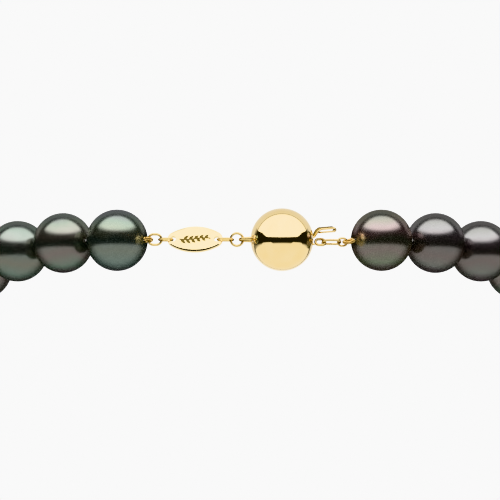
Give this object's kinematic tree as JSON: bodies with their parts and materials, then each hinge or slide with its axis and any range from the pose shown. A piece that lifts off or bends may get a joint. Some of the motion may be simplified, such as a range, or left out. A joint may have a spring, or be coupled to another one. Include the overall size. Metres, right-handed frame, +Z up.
{
  "type": "pearl necklace",
  "caption": "Knotted strand of round dark pearls worn as a loop, closed by a gold ball clasp with a release lever, a short link chain and an oval tag.",
  "frame": {"origin": "the point at the back of the clasp ball that rests against the nape of the neck", "axes": "+Z up as worn, +Y from the nape towards the front of the neck, +X to the right when the clasp is seen from behind the wearer"},
  "size_m": [0.1164, 0.1453, 0.1151],
  "materials": {
    "ball_gold": null,
    "tag_gold": null,
    "chain_gold": null,
    "spring_gold": null,
    "gimp_wire": "finely coiled gilt bullion wire",
    "silk": "twisted grey silk thread, knotted",
    "pearl_peacock": "lustrous dark nacre with soft overtones",
    "pearl_green_grey": "lustrous dark nacre with soft overtones",
    "pearl_aubergine_grey": "lustrous dark nacre with soft overtones",
    "pearl_silver_grey": "lustrous dark nacre with soft overtones",
    "pearl_teal": "lustrous dark nacre with soft overtones"
  },
  "bodies": {
    "clasp_ball": {"ball_cup_left": "ball_gold", "ball_cup_right": "ball_gold", "catch_box": "spring_gold", "ball_loop": "chain_gold"},
    "tongue": {"tongue_base": "spring_gold", "tongue_loop": "chain_gold"},
    "lever": {"spring_lever": "spring_gold"},
    "round_ring": {"round_ring": "chain_gold"},
    "inner_link": {"inner_link": "chain_gold"},
    "tag": {"tag": "tag_gold"},
    "outer_link": {"outer_link": "chain_gold"},
    "oval_link": {"oval_link": "chain_gold"},
    "right_link": {"right_link": "chain_gold"},
    "right_ring": {"right_ring": "chain_gold"},
    "pearl_left_01": {"pearl_left_01": "pearl_teal", "gimp_left": "gimp_wire", "silk_left": "silk"},
    "pearl_left_02": {"pearl_left_02": "pearl_peacock"},
    "pearl_left_03": {"pearl_left_03": "pearl_green_grey"},
    "pearl_left_04": {"pearl_left_04": "pearl_silver_grey"},
    "pearl_left_05": {"pearl_left_05": "pearl_aubergine_grey"},
    "pearl_left_06": {"pearl_left_06": "pearl_peacock"},
    "pearl_left_07": {"pearl_left_07": "pearl_silver_grey"},
    "pearl_left_08": {"pearl_left_08": "pearl_green_grey"},
    "pearl_left_09": {"pearl_left_09": "pearl_teal"},
    "pearl_left_10": {"pearl_left_10": "pearl_aubergine_grey"},
    "pearl_left_11": {"pearl_left_11": "pearl_peacock"},
    "pearl_left_12": {"pearl_left_12": "pearl_silver_grey"},
    "pearl_left_13": {"pearl_left_13": "pearl_green_grey"},
    "pearl_left_14": {"pearl_left_14": "pearl_teal"},
    "pearl_left_15": {"pearl_left_15": "pearl_aubergine_grey"},
    "pearl_left_16": {"pearl_left_16": "pearl_peacock"},
    "pearl_left_17": {"pearl_left_17": "pearl_silver_grey"},
    "pearl_left_18": {"pearl_left_18": "pearl_green_grey"},
    "pearl_left_19": {"pearl_left_19": "pearl_teal"},
    "pearl_centre": {"pearl_centre": "pearl_peacock"},
    "pearl_right_01": {"pearl_right_01": "pearl_aubergine_grey", "gimp_right": "gimp_wire", "silk_right": "silk"},
    "pearl_right_02": {"pearl_right_02": "pearl_silver_grey"},
    "pearl_right_03": {"pearl_right_03": "pearl_silver_grey"},
    "pearl_right_04": {"pearl_right_04": "pearl_peacock"},
    "pearl_right_05": {"pearl_right_05": "pearl_aubergine_grey"},
    "pearl_right_06": {"pearl_right_06": "pearl_aubergine_grey"},
    "pearl_right_07": {"pearl_right_07": "pearl_peacock"},
    "pearl_right_08": {"pearl_right_08": "pearl_silver_grey"},
    "pearl_right_09": {"pearl_right_09": "pearl_green_grey"},
    "pearl_right_10": {"pearl_right_10": "pearl_teal"},
    "pearl_right_11": {"pearl_right_11": "pearl_aubergine_grey"},
    "pearl_right_12": {"pearl_right_12": "pearl_peacock"},
    "pearl_right_13": {"pearl_right_13": "pearl_silver_grey"},
    "pearl_right_14": {"pearl_right_14": "pearl_green_grey"},
    "pearl_right_15": {"pearl_right_15": "pearl_teal"},
    "pearl_right_16": {"pearl_right_16": "pearl_aubergine_grey"},
    "pearl_right_17": {"pearl_right_17": "pearl_peacock"},
    "pearl_right_18": {"pearl_right_18": "pearl_silver_grey"},
    "pearl_right_19": {"pearl_right_19": "pearl_green_grey"}
  },
  "joints": [
    {"name": "tongue_slide", "type": "slide", "parent": "clasp_ball", "child": "tongue", "axis": [0.9773, 0.212, 0], "range_m": [0, 0.009]},
    {"name": "lever_press", "type": "hinge", "parent": "tongue", "child": "lever", "pos_m": [-0.0023, -0.0055, 0.00003], "axis": [-0.212, 0.9773, 0], "range_deg": [0, 3.5], "stiffness_Nm_per_rad": 0.05},
    {"name": "ball_loop_swing", "type": "hinge", "parent": "clasp_ball", "child": "round_ring", "pos_m": [-0.00618, -0.0043, 0], "axis": [0, 0, 1], "range_deg": [0, 20]},
    {"name": "round_ring_swing", "type": "hinge", "parent": "round_ring", "child": "inner_link", "pos_m": [-0.00817, -0.00408, 0], "axis": [0, 0, 1], "range_deg": [0, 20]},
    {"name": "tag_inner_swing", "type": "hinge", "parent": "inner_link", "child": "tag", "pos_m": [-0.00964, -0.00392, 0], "axis": [0, 0, 1], "range_deg": [0, 15]},
    {"name": "tag_outer_swing", "type": "hinge", "parent": "tag", "child": "outer_link", "pos_m": [-0.01799, -0.00298, 0], "axis": [0, 0, 1], "range_deg": [0, 15]},
    {"name": "oval_link_swing", "type": "hinge", "parent": "outer_link", "child": "oval_link", "pos_m": [-0.01917, -0.00284, 0], "axis": [0, 0, 1], "range_deg": [0, 20]},
    {"name": "left_gimp_swing", "type": "hinge", "parent": "oval_link", "child": "pearl_left_01", "pos_m": [-0.02131, -0.0026, 0], "axis": [0, 0, 1], "range_deg": [0, 12]},
    {"name": "tongue_loop_swing", "type": "hinge", "parent": "tongue", "child": "right_link", "pos_m": [0.00686, -0.00351, -0.0004], "axis": [0, 0, -1], "range_deg": [0, 20]},
    {"name": "right_link_swing", "type": "hinge", "parent": "right_link", "child": "right_ring", "pos_m": [0.00891, -0.00307, -0.0004], "axis": [0, 0, -1], "range_deg": [0, 20]},
    {"name": "right_gimp_swing", "type": "hinge", "parent": "right_ring", "child": "pearl_right_01", "pos_m": [0.01038, -0.00275, -0.0004], "axis": [0, 0, -1], "range_deg": [0, 12]},
    {"name": "left_knot_01", "type": "hinge", "parent": "pearl_left_01", "child": "pearl_left_02", "pos_m": [-0.03103, 0.00176, -0.00018], "axis": [0, 0, 1], "range_deg": [0, 12], "deforming": ["silk_left"]},
    {"name": "left_knot_02", "type": "hinge", "parent": "pearl_left_02", "child": "pearl_left_03", "pos_m": [-0.03923, 0.00774, -0.00088], "axis": [0, 0, 1], "range_deg": [0, 12]},
    {"name": "left_knot_03", "type": "hinge", "parent": "pearl_left_03", "child": "pearl_left_04", "pos_m": [-0.04623, 0.01517, -0.00283], "axis": [0, 0, 1], "range_deg": [0, 12]},
    {"name": "left_knot_04", "type": "hinge", "parent": "pearl_left_04", "child": "pearl_left_05", "pos_m": [-0.05162, 0.02316, -0.00668], "axis": [0, 0, 1], "range_deg": [0, 12]},
    {"name": "left_knot_05", "type": "hinge", "parent": "pearl_left_05", "child": "pearl_left_06", "pos_m": [-0.05533, 0.03091, -0.01251], "axis": [0, 0, 1], "range_deg": [0, 12]},
    {"name": "left_knot_06", "type": "hinge", "parent": "pearl_left_06", "child": "pearl_left_07", "pos_m": [-0.05733, 0.03909, -0.01896], "axis": [0, 0, 1], "range_deg": [0, 12]},
    {"name": "left_knot_07", "type": "hinge", "parent": "pearl_left_07", "child": "pearl_left_08", "pos_m": [-0.0581, 0.04825, -0.02394], "axis": [0, 0, 1], "range_deg": [0, 12]},
    {"name": "left_knot_08", "type": "hinge", "parent": "pearl_left_08", "child": "pearl_left_09", "pos_m": [-0.05843, 0.05737, -0.02962], "axis": [0, 0, 1], "range_deg": [0, 12]},
    {"name": "left_knot_09", "type": "hinge", "parent": "pearl_left_09", "child": "pearl_left_10", "pos_m": [-0.05827, 0.06609, -0.03576], "axis": [0, 0, 1], "range_deg": [0, 12]},
    {"name": "left_knot_10", "type": "hinge", "parent": "pearl_left_10", "child": "pearl_left_11", "pos_m": [-0.05757, 0.07456, -0.04243], "axis": [0, 0, 1], "range_deg": [0, 12]},
    {"name": "left_knot_11", "type": "hinge", "parent": "pearl_left_11", "child": "pearl_left_12", "pos_m": [-0.05627, 0.08275, -0.04955], "axis": [0, 0, 1], "range_deg": [0, 12]},
    {"name": "left_knot_12", "type": "hinge", "parent": "pearl_left_12", "child": "pearl_left_13", "pos_m": [-0.05436, 0.09049, -0.05692], "axis": [0, 0, 1], "range_deg": [0, 12]},
    {"name": "left_knot_13", "type": "hinge", "parent": "pearl_left_13", "child": "pearl_left_14", "pos_m": [-0.05165, 0.09803, -0.06471], "axis": [0, 0, 1], "range_deg": [0, 12]},
    {"name": "left_knot_14", "type": "hinge", "parent": "pearl_left_14", "child": "pearl_left_15", "pos_m": [-0.04816, 0.10503, -0.07249], "axis": [0, 0, 1], "range_deg": [0, 12]},
    {"name": "left_knot_15", "type": "hinge", "parent": "pearl_left_15", "child": "pearl_left_16", "pos_m": [-0.04362, 0.11167, -0.0804], "axis": [0, 0, 1], "range_deg": [0, 12]},
    {"name": "left_knot_16", "type": "hinge", "parent": "pearl_left_16", "child": "pearl_left_17", "pos_m": [-0.03789, 0.11773, -0.08805], "axis": [0, 0, 1], "range_deg": [0, 12]},
    {"name": "left_knot_17", "type": "hinge", "parent": "pearl_left_17", "child": "pearl_left_18", "pos_m": [-0.03074, 0.12303, -0.09509], "axis": [0, 0, 1], "range_deg": [0, 12]},
    {"name": "left_knot_18", "type": "hinge", "parent": "pearl_left_18", "child": "pearl_left_19", "pos_m": [-0.02171, 0.12729, -0.101], "axis": [0, 0, 1], "range_deg": [0, 12]},
    {"name": "left_knot_19", "type": "hinge", "parent": "pearl_left_19", "child": "pearl_centre", "pos_m": [-0.01105, 0.12975, -0.10451], "axis": [0, 0, 1], "range_deg": [0, 12]},
    {"name": "right_knot_01", "type": "hinge", "parent": "pearl_right_01", "child": "pearl_right_02", "pos_m": [0.02063, 0.00176, -0.00018], "axis": [0, 0, -1], "range_deg": [0, 12], "deforming": ["silk_right"]},
    {"name": "right_knot_02", "type": "hinge", "parent": "pearl_right_02", "child": "pearl_right_03", "pos_m": [0.02883, 0.00774, -0.00088], "axis": [0, 0, -1], "range_deg": [0, 12]},
    {"name": "right_knot_03", "type": "hinge", "parent": "pearl_right_03", "child": "pearl_right_04", "pos_m": [0.03583, 0.01517, -0.00283], "axis": [0, 0, -1], "range_deg": [0, 12]},
    {"name": "right_knot_04", "type": "hinge", "parent": "pearl_right_04", "child": "pearl_right_05", "pos_m": [0.04122, 0.02316, -0.00668], "axis": [0, 0, -1], "range_deg": [0, 12]},
    {"name": "right_knot_05", "type": "hinge", "parent": "pearl_right_05", "child": "pearl_right_06", "pos_m": [0.04493, 0.03091, -0.01251], "axis": [0, 0, -1], "range_deg": [0, 12]},
    {"name": "right_knot_06", "type": "hinge", "parent": "pearl_right_06", "child": "pearl_right_07", "pos_m": [0.04693, 0.03909, -0.01896], "axis": [0, 0, -1], "range_deg": [0, 12]},
    {"name": "right_knot_07", "type": "hinge", "parent": "pearl_right_07", "child": "pearl_right_08", "pos_m": [0.0477, 0.04825, -0.02394], "axis": [0, 0, -1], "range_deg": [0, 12]},
    {"name": "right_knot_08", "type": "hinge", "parent": "pearl_right_08", "child": "pearl_right_09", "pos_m": [0.04803, 0.05737, -0.02962], "axis": [0, 0, -1], "range_deg": [0, 12]},
    {"name": "right_knot_09", "type": "hinge", "parent": "pearl_right_09", "child": "pearl_right_10", "pos_m": [0.04787, 0.06609, -0.03576], "axis": [0, 0, -1], "range_deg": [0, 12]},
    {"name": "right_knot_10", "type": "hinge", "parent": "pearl_right_10", "child": "pearl_right_11", "pos_m": [0.04717, 0.07456, -0.04243], "axis": [0, 0, -1], "range_deg": [0, 12]},
    {"name": "right_knot_11", "type": "hinge", "parent": "pearl_right_11", "child": "pearl_right_12", "pos_m": [0.04587, 0.08275, -0.04955], "axis": [0, 0, -1], "range_deg": [0, 12]},
    {"name": "right_knot_12", "type": "hinge", "parent": "pearl_right_12", "child": "pearl_right_13", "pos_m": [0.04396, 0.09049, -0.05692], "axis": [0, 0, -1], "range_deg": [0, 12]},
    {"name": "right_knot_13", "type": "hinge", "parent": "pearl_right_13", "child": "pearl_right_14", "pos_m": [0.04125, 0.09803, -0.06471], "axis": [0, 0, -1], "range_deg": [0, 12]},
    {"name": "right_knot_14", "type": "hinge", "parent": "pearl_right_14", "child": "pearl_right_15", "pos_m": [0.03776, 0.10503, -0.07249], "axis": [0, 0, -1], "range_deg": [0, 12]},
    {"name": "right_knot_15", "type": "hinge", "parent": "pearl_right_15", "child": "pearl_right_16", "pos_m": [0.03322, 0.11167, -0.0804], "axis": [0, 0, -1], "range_deg": [0, 12]},
    {"name": "right_knot_16", "type": "hinge", "parent": "pearl_right_16", "child": "pearl_right_17", "pos_m": [0.02749, 0.11773, -0.08805], "axis": [0, 0, -1], "range_deg": [0, 12]},
    {"name": "right_knot_17", "type": "hinge", "parent": "pearl_right_17", "child": "pearl_right_18", "pos_m": [0.02034, 0.12303, -0.09509], "axis": [0, 0, -1], "range_deg": [0, 12]},
    {"name": "right_knot_18", "type": "hinge", "parent": "pearl_right_18", "child": "pearl_right_19", "pos_m": [0.01131, 0.12729, -0.101], "axis": [0, 0, -1], "range_deg": [0, 12]}
  ]
}
